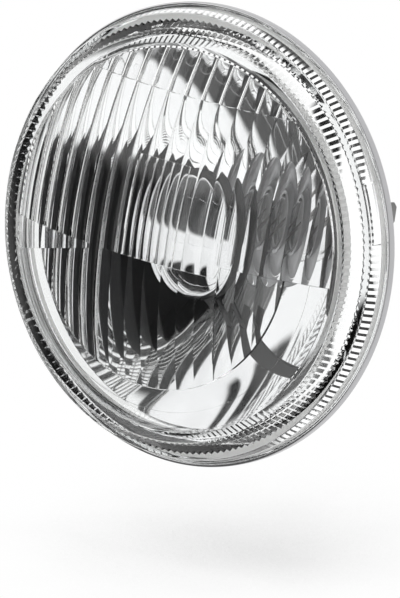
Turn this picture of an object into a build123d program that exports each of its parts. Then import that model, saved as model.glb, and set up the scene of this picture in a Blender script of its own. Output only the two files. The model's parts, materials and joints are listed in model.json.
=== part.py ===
"""Round motorcycle headlight insert: fluted glass lens, mirrored bowl, two-filament bulb and wire clip.

Millimetres. The lens faces -Y and +Z is up. The origin lies on the optical axis, in the plane of the rear
face of the rim flange, where the insert sits in a headlamp ring.
"""
import math
import os

from build123d import *

# Rim
rim_radius = 73.0
sheet = 1.0
lip_depth = 2.4
glass_gap = 0.6
glue_thickness = 0.8
glue_margin = 1.6
flange_front = -sheet
lens_rear = flange_front - glue_thickness
lens_rim_radius = rim_radius - sheet - glass_gap

# Lens
rim_step = 3.2
rim_draft = 1.2
rim_height = 8.0
rim_ledge = 1.8
rib_height = 6.5
rib_lean = 3.5
rib_depth = 0.75
rib_count = 180
crown_width = 0.2
dome_radius = 134.5
glass_thickness = 4.0
wall_thickness = 3.8
optic_ledge = 0.8
pad_from = 11.3
pad_to = 26.5
pad_height = 0.45
pad_margin = 0.8
pad_skirt = 1.4
rib_foot = lens_rear - rim_height
rib_top = rib_foot - rib_height
rib_foot_radius = lens_rim_radius - rim_draft - rim_ledge
rib_top_radius = rib_foot_radius - rib_lean
rib_root = 1 - rib_depth / rib_foot_radius
dome_edge_radius = rib_top_radius * rib_root - crown_width
dome_centre = rib_top + math.sqrt(dome_radius ** 2 - dome_edge_radius ** 2)
dome_front = dome_centre - dome_radius
inner_radius = dome_radius - glass_thickness
lens_bore_radius = dome_edge_radius - wall_thickness
optic_radius = lens_bore_radius - optic_ledge

# Optical blocks on the inside of the lens
flute_pitch = 6.4
flute_depth = 0.55
row_depth = 0.75
block_depth = 0.30
right_depth = 0.35
faint_depth = 0.15
row_level = 0.5
field_level = 0.0
block_level = -0.35
wedge_level = 0.7
left_level = 0.125
middle_level = 0.7
right_level = 0.95
inner_band_level = -0.15
outer_band_level = -0.4
rim_level = -0.8
row_height = 13.2
field_line = -5.8
right_line = -2.0
right_from = 26.0
block_flutes = 6
block_top = 26.0
wedge_x = -22.6
wedge_drop = 1.4
wedge_angle = 15.0
left_to = -17.0
outer_band = 5.8
inner_band = 7.2
row_line = optic_radius - row_height
block_half = block_flutes * flute_pitch / 4
outer_arc = optic_radius - outer_band
inner_arc = outer_arc - inner_band

# Reflector
focal_length = 20.5
mouth_step = 0.5
neck_radius = 20.5
neck_flange_width = 7.5
mouth_radius = lens_bore_radius + mouth_step
neck_flange_radius = neck_radius + neck_flange_width
apex = flange_front + mouth_radius ** 2 / (4 * focal_length)
focus = apex - focal_length

# Bulb, by the usual two-filament halogen pattern
light_centre = 28.0
collar_thickness = 1.2
collar_radius = 19.0
lug_reach = 2.5
lug_width = 8.0
bulb_radius = 8.5
bulb_wall = 1.2
bulb_dome = 12.0
bulb_reach = 46.0
bulb_foot = 4.5
bulb_well = 8.5
bulb_clearance = 0.4
stem_radius = 10.5
stem_length = 9.0
stem_clearance = 0.1
base_radius = 12.5
base_length = 15.4
insulator_length = 12.5
insulator_step = 0.3
blade_width = 8.0
blade_thickness = 0.8
blade_length = 11.8
blade_corner = 1.6
blade_offset = 8.5
reference = focus + light_centre
rear_of_collar = reference + collar_thickness
base_end = rear_of_collar + base_length
insulator_end = base_end + insulator_length
foot_end = reference + bulb_foot
well_end = foot_end - bulb_well
bulb_tip = reference - bulb_reach
lug_radius = collar_radius + lug_reach
lug_angles = (90, 210, 330)

# Filaments and their wires
wire_radius = 0.5
wire_spread = 4.0
wire_gap = 0.05
coil_radius = 0.75
coil_length = 5.0
coil_space = 2.0
leg_size = 0.6
dip_height = 1.2
cup_radius = 3.0
cup_sheet = 0.5
cup_front = 1.2
cup_rear = 0.8
cup_edge = 0.4
main_rear = focus + coil_length / 2
main_front = main_rear - coil_length
dip_rear = main_front - coil_space
dip_front = dip_rear - coil_length
leg_reach = wire_spread - wire_radius - wire_gap

# Bulb holder and clip
floor_thickness = 1.2
hole_clearance = 0.3
plate_radius = 27.0
clip_wire = 0.8
clip_clearance = 0.3
leg_space = 1.2
pivot_z = 25.0
ear_space = 1.4
ear_thickness = 1.2
ear_margin = 1.8
pin_end = 1.2
post_half = 2.9
post_thickness = 1.4
post_height = 2.6
post_z = -28.0
post_margin = 1.6
bend_z = -18.0
handle_z = -34.0
handle_space = 0.2
plate_front = reference - floor_thickness
clip_y = rear_of_collar + clip_wire + clip_clearance
leg_x = base_radius + leg_space + clip_wire
ear_x = leg_x + clip_wire + ear_space + ear_thickness / 2
handle_x = post_half + clip_wire + clip_clearance + handle_space
ear_radius = clip_wire + clip_clearance + ear_margin

# Bulb shield
shield_radius = 19.5
shield_dome = 28.0
shield_sheet = 0.6
shield_gap = 17.8
shield_depth = 16.0
strip_width = 7.0
strip_sheet = 0.8
strip_seat = 5.0
strip_reach = 2.0
strip_gap = 0.35
foot_start = 6.5
foot_length = 6.0
shield_front = bulb_tip - shield_gap - shield_sheet
shield_rear = shield_front + shield_depth

front_plane = Plane(origin=(0, 0, 0), x_dir=(1, 0, 0), z_dir=(0, -1, 0))
side_plane = Plane(origin=(0, 0, 0), x_dir=(0, 1, 0), z_dir=(1, 0, 0))
level_axis = Axis((0, dome_centre, 0), (1, 0, 0))


def bar(y_from, y_to, radius, x=0.0, z=0.0):
    """Round bar along the optical axis."""
    place = Plane(origin=(x, y_from, z), x_dir=(1, 0, 0), z_dir=(0, 1, 0))
    return extrude(place * Circle(radius), amount=y_to - y_from)


def block(x_from, x_to, y_from, y_to, z_from, z_to):
    """Box between two limits on each axis."""
    centre = Pos((x_from + x_to) / 2, (y_from + y_to) / 2, (z_from + z_to) / 2)
    return centre * Box(x_to - x_from, y_to - y_from, z_to - z_from)


def ball(centre_y, radius):
    """Sphere on the optical axis."""
    return Pos(0, centre_y, 0) * Sphere(radius)


def slab(x_from, x_to, z_from, z_to):
    """Upright rectangle in front view."""
    return Pos((x_from + x_to) / 2, (z_from + z_to) / 2) * Rectangle(x_to - x_from, z_to - z_from)


def rib_ring(radius, y):
    """Zigzag outline of the rib ring at one depth."""
    points = []
    for i in range(2 * rib_count):
        r = radius if i % 2 == 0 else radius * rib_root
        turn = math.pi * i / rib_count
        points.append(Vector(r * math.cos(turn), y, r * math.sin(turn)))
    return Wire.make_polygon(points, close=True)


def lens_body():
    """Solid dome with its rib ring, stepped rim and locating pad."""
    rim = make_face(Polyline(
        (0, lens_rear),
        (lens_rim_radius, lens_rear),
        (lens_rim_radius, lens_rear - rim_step),
        (lens_rim_radius - rim_draft, rib_foot),
        (dome_edge_radius, rib_foot),
        (dome_edge_radius, dome_front),
        (0, dome_front),
        close=True,
    ))
    body = revolve(rim, axis=Axis.Y) & ball(dome_centre, dome_radius)
    ribs = Solid.make_loft([rib_ring(rib_foot_radius, rib_foot), rib_ring(rib_top_radius, rib_top)], ruled=True)
    body += ribs
    depth = rim_draft + pad_height
    pad = make_face(Polyline(
        (lens_rim_radius - depth, rib_foot + pad_margin),
        (lens_rim_radius - rim_draft + pad_height, rib_foot + pad_margin),
        (lens_rim_radius + pad_height, lens_rear - rim_step),
        (lens_rim_radius + pad_height, lens_rear - rim_step + pad_skirt),
        (lens_rim_radius - depth, lens_rear - rim_step + pad_skirt),
        close=True,
    ))
    pad = revolve(pad, axis=Axis.Y, revolution_arc=pad_to - pad_from)
    return body + pad.rotate(Axis.Y, -pad_to)


def fluted(pitch, depth, rise):
    """Space behind a sheet of vertical flutes that follow the dome."""
    radius = inner_radius + rise
    count = math.ceil(optic_radius / pitch)

    def sheet_y(x, extra=0.0):
        return dome_centre - math.sqrt(radius ** 2 - x ** 2) - extra

    lines = []
    for i in range(-count, count):
        start = i * pitch
        end = start + pitch
        middle = (start + end) / 2
        lines.append(ThreePointArc((start, sheet_y(start)), (middle, sheet_y(middle, depth)), (end, sheet_y(end))))
    edge = count * pitch
    back = dome_centre - (inner_radius - optic_radius)
    lines.append(Polyline((edge, sheet_y(edge)), (edge, back), (-edge, back), (-edge, sheet_y(edge))))
    turn = 2 * math.degrees(math.asin(lens_bore_radius / inner_radius)) + 10
    swung = revolve(make_face(lines), axis=level_axis, revolution_arc=turn)
    return swung.rotate(level_axis, -turn / 2)


def smooth(rise):
    """Space behind a plain part of the inner dome."""
    return ball(dome_centre, inner_radius + rise)


def zone(outline):
    """Column through the lens over an outline drawn in front view."""
    return extrude(front_plane * outline, amount=-2 * dome_front)


def make_lens():
    """Pressed glass lens, with stepped blocks of flutes on its inside."""
    far = 3 * rim_radius
    whole = Circle(optic_radius)
    disc = Circle(inner_arc)
    upper = slab(-far, right_from, field_line, row_line) + slab(right_from, far, right_line, row_line)
    centre = slab(-block_half, block_half, field_line, block_top)
    lower = slab(-far, right_from, -far, field_line) + slab(right_from, far, -far, right_line)
    fall = (wedge_x + far) * math.tan(math.radians(wedge_angle))
    wedge = make_face(Polyline(
        (wedge_x, field_line),
        (wedge_x, field_line - wedge_drop),
        (-far, field_line - wedge_drop - fall),
        (-far, field_line),
        close=True,
    ))
    ground = (whole & lower) - wedge
    middle = slab(left_to, right_from, -far, far)
    spaces = [
        fluted(flute_pitch, row_depth, row_level) & zone(whole & slab(-far, far, row_line, far)),
        fluted(flute_pitch, flute_depth, field_level) & zone((whole & upper) - centre),
        fluted(flute_pitch / 2, block_depth, block_level) & zone(centre),
        fluted(flute_pitch, faint_depth, wedge_level) & zone(whole & lower & wedge),
        fluted(flute_pitch, flute_depth, left_level) & zone(ground & disc & slab(-far, left_to, -far, far)),
        fluted(flute_pitch, faint_depth, middle_level) & zone(ground & disc & middle),
        fluted(flute_pitch, right_depth, right_level) & zone(ground & disc & slab(right_from, far, -far, far)),
        smooth(inner_band_level) & zone(ground & (Circle(outer_arc) - disc)),
        smooth(outer_band_level) & zone(ground - Circle(outer_arc)),
    ]
    lens = lens_body() - (bar(dome_front, lens_rear, lens_bore_radius) & smooth(rim_level))
    for space in spaces:
        lens -= space
    return lens


def bowl_depth(radius):
    """Depth of the mirrored face at a radius."""
    return apex - radius ** 2 / (4 * focal_length)


def bowl_curve(start, end, back=0.0):
    """Exact parabola between two radii, moved back along the axis."""
    middle = (start + end) / 2
    handle = bowl_depth(start) - start * (middle - start) / (2 * focal_length)
    return Bezier((start, bowl_depth(start) + back), (middle, handle + back), (end, bowl_depth(end) + back))


def make_reflector():
    """Pressed bowl with a lipped flange at the mouth and a flanged neck."""
    back = sheet * math.hypot(1, neck_radius / (2 * focal_length))
    outer_neck = neck_radius + sheet
    turn_radius = math.sqrt(4 * focal_length * (apex + back))
    neck = Polyline(
        (neck_radius, bowl_depth(neck_radius)),
        (neck_radius, plate_front),
        (neck_flange_radius, plate_front),
        (neck_flange_radius, plate_front - sheet),
        (outer_neck, plate_front - sheet),
        (outer_neck, bowl_depth(outer_neck) + back),
    )
    rim = Polyline(
        (turn_radius, 0),
        (rim_radius, 0),
        (rim_radius, flange_front - lip_depth),
        (rim_radius - sheet, flange_front - lip_depth),
        (rim_radius - sheet, flange_front),
        (mouth_radius, flange_front),
    )
    outline = [bowl_curve(mouth_radius, neck_radius), neck, bowl_curve(outer_neck, turn_radius, back), rim]
    return revolve(make_face(outline), axis=Axis.Y)


def make_glue():
    """Bead between the rear of the lens and the flange."""
    inner = lens_bore_radius + glue_margin
    outer = lens_rim_radius - glue_margin
    return bar(lens_rear, flange_front, outer) - bar(lens_rear, flange_front, inner)


def make_shield():
    """Drawn cap over the end of the bulb, open to the rear."""
    cap = bar(shield_front, shield_rear, shield_radius) & ball(shield_front + shield_dome, shield_dome)
    inside = shield_radius - shield_sheet
    hollow = bar(shield_front, shield_rear, inside) & ball(shield_front + shield_dome, shield_dome - shield_sheet)
    return cap - hollow


def bent_sheet(points, thickness):
    """Outline of a bent sheet, from the corners along its lower face."""
    corners = [Vector(*point) for point in points]
    runs = [(b - a).normalized() for a, b in zip(corners, corners[1:])]
    sides = [Vector(-run.Y, run.X) for run in runs]
    leans = [(a + b) / (1 + a.dot(b)) for a, b in zip(sides, sides[1:])]
    leans = [sides[0], *leans, sides[-1]]
    upper = [corner + lean * thickness for corner, lean in zip(corners, leans)]
    return make_face(Polyline(*corners, *reversed(upper), close=True))


def make_bracket():
    """Strip from the underside of the cap to the bowl."""
    seat = -shield_radius - wire_gap
    foot_in = neck_radius + foot_start
    foot_out = foot_in + foot_length
    lean = math.hypot(1, (foot_in + foot_out) / (4 * focal_length))
    gap = strip_gap * lean
    strip = bent_sheet([
        (shield_rear - strip_seat, seat - strip_sheet),
        (shield_rear + strip_reach, seat - strip_sheet),
        (bowl_depth(foot_out) - gap, -foot_out),
        (bowl_depth(foot_in) - gap, -foot_in),
    ], strip_sheet)
    return extrude(side_plane * strip, amount=strip_width / 2, both=True)


def lugs(width, y_from, y_to, reach):
    """Three bars across the collar, at the angles of its lugs."""
    bars = []
    for angle in lug_angles:
        lug = block(-width / 2, width / 2, y_from, y_to, collar_radius / 2, reach)
        bars.append(lug.rotate(Axis.Y, 90 - angle))
    return bars


def make_holder():
    """Plate at the neck with the bulb hole, three recesses, two ears and the catch post."""
    ear_out = ear_x + ear_thickness / 2
    outline = RegularPolygon(plate_radius, 8, rotation=22.5)
    outline += slab(-ear_out, ear_out, 0, pivot_z + ear_radius)
    outline += slab(-post_half - post_margin, post_half + post_margin, post_z - post_margin, 0)
    plate = extrude(front_plane.offset(-plate_front) * outline, amount=plate_front - rear_of_collar)
    plate -= bar(plate_front, rear_of_collar, collar_radius + hole_clearance)
    for recess in lugs(lug_width + 2 * hole_clearance, reference, rear_of_collar, lug_radius + hole_clearance):
        plate -= recess
    for side in (-1, 1):
        x = side * ear_x
        ear = block(x - ear_thickness / 2, x + ear_thickness / 2, rear_of_collar, clip_y + ear_radius,
                    pivot_z - ear_radius, pivot_z + ear_radius)
        bore = Plane(origin=(x, clip_y, pivot_z), x_dir=(0, 1, 0), z_dir=(1, 0, 0))
        ear -= extrude(bore * Circle(clip_wire + clip_clearance), amount=ear_thickness, both=True)
        plate += ear
    post = block(-post_half, post_half, rear_of_collar, clip_y + post_height,
                 post_z - post_thickness / 2, post_z + post_thickness / 2)
    return plate + post


def make_clip():
    """Bent wire: two pivot ends, two legs beside the bulb base, and a handle past the post."""
    half = [
        (ear_x + ear_thickness / 2 + pin_end, clip_y, pivot_z),
        (leg_x, clip_y, pivot_z),
        (leg_x, clip_y, bend_z),
        (handle_x, clip_y, post_z + handle_x - post_half),
        (handle_x, clip_y, handle_z),
    ]
    mirrored = [(-x, y, z) for x, y, z in reversed(half)]
    section = Plane(origin=half[0], z_dir=(-1, 0, 0)) * Circle(clip_wire)
    return sweep(section, path=Polyline(*half, *mirrored), transition=Transition.RIGHT)


def make_collar():
    """Focus ring of the bulb with its three lugs."""
    collar = bar(reference, rear_of_collar, collar_radius)
    for lug in lugs(lug_width, reference, rear_of_collar, lug_radius):
        collar += lug
    return collar - bar(reference, rear_of_collar, stem_radius + stem_clearance)


def make_base():
    """Metal shell of the bulb."""
    front = reference - stem_length
    shell = bar(front, rear_of_collar, stem_radius) + bar(rear_of_collar, base_end, base_radius)
    return shell - bar(front, foot_end, bulb_radius + bulb_clearance)


def make_bulb_glass():
    """Closed glass tube with a solid foot."""
    centre = bulb_tip + bulb_dome
    outside = bar(bulb_tip, foot_end, bulb_radius) & (ball(centre, bulb_dome) + bar(centre, foot_end, bulb_dome))
    inner = bulb_dome - bulb_wall
    room = ball(centre, inner) + bar(centre, foot_end, inner)
    return outside - (bar(bulb_tip, well_end, bulb_radius - bulb_wall) & room)


def coil(y_front, z):
    """Filament coil as its outer form."""
    return bar(y_front, y_front + coil_length, coil_radius, 0, z)


def leg(side, y_from, z):
    """Level leg from a coil to the wire at one side."""
    x_from, x_to = sorted((0, side * leg_reach))
    return block(x_from, x_to, y_from, y_from + leg_size, z - leg_size / 2, z + leg_size / 2)


def make_main_filament():
    """Coil at the focus with its two legs."""
    return coil(main_front, 0) + leg(1, main_rear - leg_size, 0) + leg(-1, main_front, 0)


def make_dip_filament():
    """Coil ahead of the focus with one leg to a wire and one to the cup."""
    low = dip_height - cup_radius + cup_sheet + wire_gap
    down = block(-leg_size / 2, leg_size / 2, dip_front, dip_front + leg_size, low, dip_height)
    return coil(dip_front, dip_height) + leg(-1, dip_rear - leg_size, dip_height) + down


def make_dip_cup():
    """Half trough under the dip filament."""
    front = dip_front - cup_front
    rear = dip_rear - cup_rear
    trough = bar(front, rear, cup_radius, 0, dip_height) - bar(front, rear, cup_radius - cup_sheet, 0, dip_height)
    top = dip_height - cup_edge
    return trough - block(-cup_radius, cup_radius, front, rear, top, top + 2 * cup_radius)


def make_leads():
    """Three support wires that stand on the glass foot."""
    under = dip_height - cup_radius - wire_radius - wire_gap
    left = bar(dip_rear - leg_size, well_end, wire_radius, -wire_spread, dip_height / 2)
    right = bar(main_rear - leg_size, well_end, wire_radius, wire_spread, 0)
    low = bar(dip_front, well_end, wire_radius, 0, under)
    return Compound(children=[left, right, low])


def make_insulator():
    """Black end piece of the bulb base."""
    return bar(base_end, insulator_end, base_radius - insulator_step)


def blade(x, z, upright):
    """Flat terminal with cut corners."""
    half = blade_width / 2
    outline = make_face(Polyline(
        (-half, 0),
        (half, 0),
        (half, blade_length - blade_corner),
        (half - blade_corner, blade_length),
        (blade_corner - half, blade_length),
        (-half, blade_length - blade_corner),
        close=True,
    ))
    across = (0, 0, 1) if upright else (1, 0, 0)
    normal = (-1, 0, 0) if upright else (0, 0, 1)
    place = Plane(origin=(x, insulator_end, z), x_dir=across, z_dir=normal)
    return extrude(place * outline, amount=blade_thickness / 2, both=True)


nodes = {
    "lens": make_lens(),
    "lens_glue": make_glue(),
    "reflector": make_reflector(),
    "bulb_shield": make_shield(),
    "shield_bracket": make_bracket(),
    "bulb_holder": make_holder(),
    "bulb_clip": make_clip(),
    "bulb_collar": make_collar(),
    "bulb_base": make_base(),
    "bulb_glass": make_bulb_glass(),
    "main_filament": make_main_filament(),
    "dip_filament": make_dip_filament(),
    "dip_cup": make_dip_cup(),
    "lead_wires": make_leads(),
    "base_insulator": make_insulator(),
    "left_blade": blade(-blade_offset, 0, True),
    "right_blade": blade(blade_offset, 0, True),
    "top_blade": blade(0, blade_offset, False),
}

os.makedirs("parts", exist_ok=True)
for name, shape in nodes.items():
    export_step(shape, f"parts/{name}.step")
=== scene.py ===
"""Round headlight insert in Blender: pressed lens, silvered bowl, bulb, wire clip and a white studio.

Runs as a script. It is laid out as an add-on, with one operator for each piece or group of like pieces.
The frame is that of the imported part: the lens faces -Y and +Z is up. Properties and meshes are in
metres. Profiles, paths and the layout of the lens are in millimetres.
"""
import contextlib
import json
import math

import bmesh
import bpy
import numpy as np
from bpy.props import FloatProperty, FloatVectorProperty, IntProperty, PointerProperty
from mathutils import Matrix, Vector
from mathutils.geometry import delaunay_2d_cdt


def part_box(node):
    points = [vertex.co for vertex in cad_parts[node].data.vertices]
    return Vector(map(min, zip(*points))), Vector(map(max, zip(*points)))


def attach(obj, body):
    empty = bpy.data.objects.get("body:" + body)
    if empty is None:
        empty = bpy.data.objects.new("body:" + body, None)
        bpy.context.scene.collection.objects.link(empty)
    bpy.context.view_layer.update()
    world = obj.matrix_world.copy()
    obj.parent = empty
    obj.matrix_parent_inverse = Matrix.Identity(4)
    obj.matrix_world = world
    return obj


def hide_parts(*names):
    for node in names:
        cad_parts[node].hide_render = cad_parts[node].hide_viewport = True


bl_info = {
    "name": "Headlight Insert",
    "version": (1, 0, 0),
    "blender": (4, 5, 0),
    "location": "View3D > Sidebar > Headlight",
    "description": "Builds the lens, bowl, bulb and studio of a round headlight insert",
    "category": "Object",
}

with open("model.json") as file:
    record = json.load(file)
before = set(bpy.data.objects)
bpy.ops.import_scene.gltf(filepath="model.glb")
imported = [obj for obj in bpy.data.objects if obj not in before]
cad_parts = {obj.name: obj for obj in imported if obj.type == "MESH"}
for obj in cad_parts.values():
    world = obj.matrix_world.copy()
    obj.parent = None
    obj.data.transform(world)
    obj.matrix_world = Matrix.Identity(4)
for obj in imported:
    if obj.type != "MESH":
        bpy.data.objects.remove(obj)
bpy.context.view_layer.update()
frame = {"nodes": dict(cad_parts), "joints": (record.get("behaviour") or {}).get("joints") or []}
mm = 0.001

# Corners nearer than this are one, within a piece and where two are joined
weld = 0.000002
seam = 0.000004

white = (1.0, 1.0, 1.0, 1.0)


def length(name, description, default):
    """Length property in metres, given in millimetres."""
    return FloatProperty(name=name, description=description, default=default * mm,
                         unit="LENGTH", precision=5)


def amount(name, description, default):
    """Plain number that is not negative."""
    return FloatProperty(name=name, description=description, default=default, min=0.0)


def colour(name, description, default):
    """Colour property."""
    return FloatVectorProperty(name=name, description=description, default=default, subtype="COLOR",
                               min=0.0, max=1.0)


class LensSizes(bpy.types.PropertyGroup):
    """Sizes of the pressed glass lens."""

    rim_radius: length("Rim radius", "Outer radius of the glass rim", 71.4)
    rim_rear: length("Rim rear", "Depth of the rear face of the rim", -1.8)
    rim_step: length("Rim step", "Height of the straight part of the rim", 3.2)
    rim_draft: length("Rim draft", "How far the rim leans in towards the ribs", 1.2)
    rib_foot: length("Rib foot", "Depth of the foot of the ribs", -9.8)
    rib_foot_radius: length("Rib foot radius", "Radius of the ribs at their foot", 68.4)
    rib_top: length("Rib top", "Depth of the top of the ribs", -16.3)
    rib_top_radius: length("Rib top radius", "Radius of the ribs at their top", 64.9)
    rib_depth: length("Rib depth", "Depth of the grooves between ribs", 0.75)
    rib_count: IntProperty(name="Ribs", description="Number of ribs round the lens", default=180, min=12)
    crown_width: length("Crown width", "Plain ring between the ribs and the dome", 0.2)
    dome_radius: length("Dome radius", "Radius of the outer dome", 134.5)
    thickness: length("Thickness", "Thickness of the glass over the bowl", 4.0)
    wall: length("Wall", "Thickness of the glass at the foot of the dome", 3.8)
    ledge: length("Ledge", "Plain ring inside the wall", 0.8)
    flute_pitch: length("Flute pitch", "Width of one flute", 6.4)
    pad_height: length("Pad height", "Height of the locating pad on the rim", 0.45)


class BowlSizes(bpy.types.PropertyGroup):
    """Sizes of the silvered bowl."""

    rim_radius: length("Rim radius", "Outer radius of the flange", 73.0)
    sheet: length("Sheet", "Thickness of the sheet", 1.0)
    lip_depth: length("Lip depth", "Height of the lip round the glass", 2.4)
    mouth_radius: length("Mouth radius", "Radius of the mirrored face at the flange", 60.688)
    focal_length: length("Focal length", "Focal length of the bowl", 20.5)
    neck_radius: length("Neck radius", "Inner radius of the neck", 20.5)
    neck_flange: length("Neck flange", "Outer radius of the flange at the neck", 28.0)
    neck_rear: length("Neck rear", "Depth of the rear of the neck", 50.2156)


class Finishes(bpy.types.PropertyGroup):
    """Colours of the pieces."""

    glass: colour("Lens glass", "Tint of the pressed glass", (0.985, 0.992, 0.99))
    silver: colour("Silvering", "Colour of the mirrored face", (0.94, 0.94, 0.945))
    zinc: colour("Zinc plate", "Colour of the plated sheet", (0.46, 0.46, 0.47))
    chrome: colour("Shield chrome", "Colour of the front of the bulb shield", (0.86, 0.86, 0.87))
    coat: colour("Black coat", "Colour of the coat inside the bulb shield", (0.012, 0.012, 0.013))
    wire: colour("Spring wire", "Colour of the clip", (0.55, 0.55, 0.56))
    bulb: colour("Bulb glass", "Tint of the bulb", (0.99, 0.99, 0.99))
    filament: colour("Filament wire", "Colour of the filaments and leads", (0.32, 0.31, 0.3))
    plastic: colour("Black plastic", "Colour of the end piece of the bulb", (0.018, 0.018, 0.02))
    blade: colour("Blade metal", "Colour of the terminals", (0.17, 0.17, 0.168))
    glue: colour("Glue", "Colour of the bead behind the lens", (0.97, 0.97, 0.96))


class Studio(bpy.types.PropertyGroup):
    """Camera and light."""

    distance: length("Distance", "Distance of the camera", 5500.0)
    focal: amount("Lens", "Focal length of the camera in millimetres", 1060.8)
    floor_gap: length("Floor gap", "Distance of the floor below the axis", 104.5)
    key: amount("Key light", "Strength of the soft light overhead", 3.0)
    fill: amount("Fill", "Strength of the white surround on dull faces", 1.25)
    panel: amount("Panels", "Strength of the white panels that glass and metal show", 1.12)


class Value:
    """Socket of a node tree that can be used in sums."""

    def __init__(self, tree, socket):
        self.tree = tree
        self.socket = socket

    def __add__(self, other):
        return self.tree.maths("ADD", self, other)

    def __radd__(self, other):
        return self.tree.maths("ADD", other, self)

    def __sub__(self, other):
        return self.tree.maths("SUBTRACT", self, other)

    def __rsub__(self, other):
        return self.tree.maths("SUBTRACT", other, self)

    def __mul__(self, other):
        return self.tree.maths("MULTIPLY", self, other)

    def __rmul__(self, other):
        return self.tree.maths("MULTIPLY", other, self)

    def __truediv__(self, other):
        return self.tree.maths("DIVIDE", self, other)

    def __rtruediv__(self, other):
        return self.tree.maths("DIVIDE", other, self)


class Tree:
    """Node tree of a material, the world or a geometry group."""

    def __init__(self, data):
        self.data = data

    def add(self, kind, values=None, out=0, **settings):
        """New node with its settings first and then its sockets."""
        node = self.data.nodes.new(kind)
        for name, value in settings.items():
            setattr(node, name, value)
        self.fill(node, values or {})
        return Value(self, node.outputs[out]) if node.outputs else node

    def fill(self, node, values):
        """Links or sets sockets of a node."""
        for key, value in values.items():
            if isinstance(value, Value):
                self.data.links.new(value.socket, node.inputs[key])
            else:
                node.inputs[key].default_value = value

    def outputs(self, kind):
        """Outputs of a new node by name."""
        node = self.data.nodes.new(kind)
        return {output.name: Value(self, output) for output in node.outputs if output.name}

    def maths(self, operation, *values):
        """Math node by its operation."""
        return self.add("ShaderNodeMath", dict(enumerate(values)), operation=operation)

    def parts(self, vector):
        """X, Y and Z of a vector."""
        first = self.add("ShaderNodeSeparateXYZ", {0: vector})
        return [Value(self, output) for output in first.socket.node.outputs]

    def step(self, value, start, end):
        """Smooth step of a value from 0 at start to 1 at end."""
        return self.add("ShaderNodeMapRange", {"Value": value, "From Min": start, "From Max": end},
                        interpolation_type="SMOOTHSTEP", clamp=True)


# Finishes. Grain is the scale, detail and gain of a noise that adds to the roughness. Tint is the range
# of the same noise on the colour. Bumps are scale, detail, strength and height in millimetres.
finish_rules = {
    "Pressed glass": {"colour": "glass", "ior": 1.5, "rough": 0.0, "bumps": (60.0, 1.0, 0.02, 0.2)},
    "Bulb glass": {"colour": "bulb", "ior": 1.46, "rough": 0.0, "bumps": (120.0, 1.0, 0.03, 0.2)},
    "Silvering": {"colour": "silver", "metal": 1.0, "rough": 0.03, "bumps": (60.0, 1.0, 0.008, 0.2)},
    "Zinc plate": {"colour": "zinc", "metal": 1.0, "rough": 0.26, "grain": (70.0, 4.0, 0.2),
                   "tint": (0.82, 1.06), "bumps": (1400.0, 2.0, 0.08, 0.1)},
    "Shield chrome": {"colour": "chrome", "metal": 1.0, "rough": 0.03, "grain": (300.0, 3.0, 0.05)},
    "Spring wire": {"colour": "wire", "metal": 1.0, "rough": 0.2, "grain": (500.0, 3.0, 0.2)},
    "Filament wire": {"colour": "filament", "metal": 1.0, "rough": 0.3, "grain": (900.0, 3.0, 0.2)},
    "Blade metal": {"colour": "blade", "metal": 1.0, "rough": 0.22, "grain": (2500.0, 3.0, 0.25),
                    "stretch": (1.0, 0.05, 1.0)},
    "Black coat": {"colour": "coat", "rough": 0.55, "grain": (900.0, 3.0, 0.25),
                   "bumps": (900.0, 3.0, 0.1, 0.1)},
    "Black plastic": {"colour": "plastic", "rough": 0.38, "grain": (1800.0, 3.0, 0.2),
                      "bumps": (1800.0, 3.0, 0.15, 0.1)},
    "Glue bead": {"colour": "glue", "rough": 0.45, "grain": (400.0, 3.0, 0.2),
                  "bumps": (400.0, 3.0, 0.1, 0.2)},
}


def finish(name):
    """Material of a finish, made once from its rule."""
    for material in bpy.data.materials:
        if material.get("finish") == name:
            return material
    material = bpy.data.materials.new(name)
    material["finish"] = name
    material.use_nodes = True
    tree = Tree(material.node_tree)
    rule = finish_rules[name]
    tint = tuple(getattr(bpy.context.scene.headlight_finishes, rule["colour"]))
    place = tree.add("ShaderNodeTexCoord", None, "Object")
    if "stretch" in rule:
        place = tree.add("ShaderNodeMapping", {"Vector": place, "Scale": rule["stretch"]})

    def noise(scale, detail):
        return tree.add("ShaderNodeTexNoise", {"Vector": place, "Scale": scale, "Detail": detail})

    values = {"Base Color": (*tint, 1.0), "Metallic": rule.get("metal", 0.0), "Roughness": rule["rough"]}
    if "ior" in rule:
        values.update({"IOR": rule["ior"], "Transmission Weight": 1.0})
    if "grain" in rule:
        scale, detail, gain = rule["grain"]
        grain = noise(scale, detail)
        values["Roughness"] = rule["rough"] + gain * grain
    if "tint" in rule:
        low, high = rule["tint"]
        shade = tree.add("ShaderNodeMapRange", {"Value": grain, "To Min": low, "To Max": high})
        values["Base Color"] = tree.add("ShaderNodeVectorMath", {0: tint, "Scale": shade},
                                        operation="SCALE")
    if "bumps" in rule:
        scale, detail, strength, height = rule["bumps"]
        relief = {"Height": noise(scale, detail), "Strength": strength, "Distance": height * mm}
        values["Normal"] = tree.add("ShaderNodeBump", relief)
    tree.fill(material.node_tree.nodes["Principled BSDF"], values)
    return material


def new_group(name, inputs):
    """Tree of a new geometry group with one output, and its inputs by name."""
    group = bpy.data.node_groups.new(name, "GeometryNodeTree")
    for label, kind in inputs.items():
        group.interface.new_socket(label, in_out="INPUT", socket_type="NodeSocket" + kind)
    group.interface.new_socket("Piece", in_out="OUTPUT", socket_type="NodeSocketGeometry")
    tree = Tree(group)
    return tree, tree.outputs("NodeGroupInput")


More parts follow.
